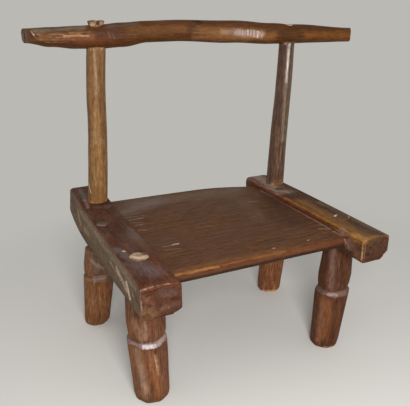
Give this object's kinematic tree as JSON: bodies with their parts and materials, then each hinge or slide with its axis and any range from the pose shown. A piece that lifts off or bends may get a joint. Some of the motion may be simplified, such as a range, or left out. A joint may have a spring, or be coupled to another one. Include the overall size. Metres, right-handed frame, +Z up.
{
  "type": "low birthing chair",
  "caption": "Low hand-carved wooden birthing chair: board seat let into side rails on whittled legs, and branch posts that carry a bent crest rail.",
  "frame": {"origin": "middle of the chair's bounding box in plan, at the floor under its feet", "axes": "+X to the right of someone who faces the chair's front, +Y from the front to the back, +Z up"},
  "size_m": [0.5668, 0.454, 0.5205],
  "materials": {
    "crest_rail": "hand-polished branch wood, orange-brown with dark red-brown patches and a dull gloss",
    "left_post": "bare branch wood, light orange-tan, worn smooth",
    "left_rail": "hewn hardwood, dark red-brown patina, greyish worn top, rough end grain",
    "leg_front_left": "whittled hardwood, reddish orange-brown, knife facets",
    "leg_front_right": "whittled hardwood, reddish brown, knife facets",
    "leg_rear_left": "whittled hardwood, reddish orange-brown, knife facets",
    "leg_rear_right": "whittled hardwood, reddish orange-brown, knife facets",
    "right_post": "branch wood darkened grey-brown, worn to a gloss",
    "right_rail": "hewn hardwood, dark brown patina, inner top edge worn orange",
    "seat_board": "dark brown board, fine grain across the seat, front edge worn orange-red"
  },
  "bodies": {
    "root": {"crest_rail": "crest_rail", "left_post": "left_post", "left_rail": "left_rail", "leg_front_left": "leg_front_left", "leg_front_right": "leg_front_right", "leg_rear_left": "leg_rear_left", "leg_rear_right": "leg_rear_right", "right_post": "right_post", "right_rail": "right_rail", "seat_board": "seat_board"}
  },
  "joints": []
}
